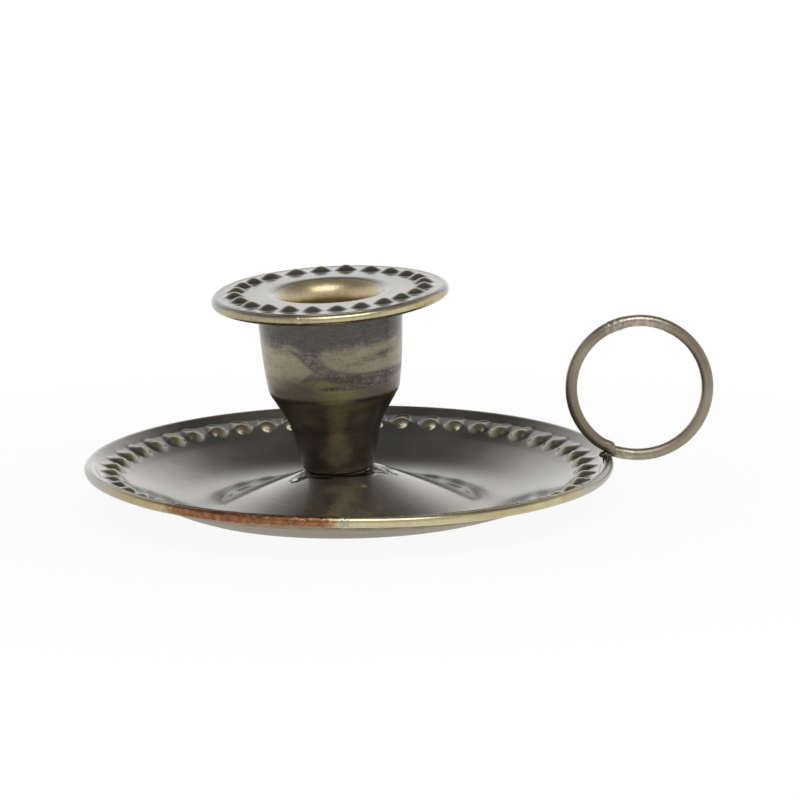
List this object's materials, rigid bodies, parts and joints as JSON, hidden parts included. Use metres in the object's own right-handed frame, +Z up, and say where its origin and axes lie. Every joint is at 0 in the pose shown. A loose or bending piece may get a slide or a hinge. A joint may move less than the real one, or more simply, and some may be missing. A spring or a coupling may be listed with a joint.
{
  "type": "chamberstick",
  "caption": "Round sheet-metal chamberstick with a beaded drip pan, a tapered candle cup under a beaded drip collar, and an upright wire finger ring.",
  "frame": {"origin": "on the axis of the drip pan, at the height of the table", "axes": "+Z up, +X from the pan's axis towards the finger ring, -Y towards the viewer of the picture"},
  "size_m": [0.1611, 0.1352, 0.0592],
  "materials": {
    "patinated_sheet": "dark worn patina over brass, satin to polished",
    "rim_wire": "bright rubbed brass with a copper-red stretch at the front of the pan",
    "ring_wire": "taupe bronze, semi-matte",
    "braze": "rough shiny brazing metal"
  },
  "bodies": {
    "root": {"drip_pan": "patinated_sheet", "pan_rim_wire": "rim_wire", "pan_rim_weld": "braze", "pan_rim_braze": "braze", "candle_cup": "patinated_sheet", "foot_braze": "braze", "drip_collar": "patinated_sheet", "collar_rim_wire": "rim_wire", "collar_rim_weld": "braze", "collar_rim_braze": "braze", "collar_braze": "braze", "finger_ring": "ring_wire", "ring_weld": "ring_wire", "ring_braze": "braze"}
  },
  "joints": []
}
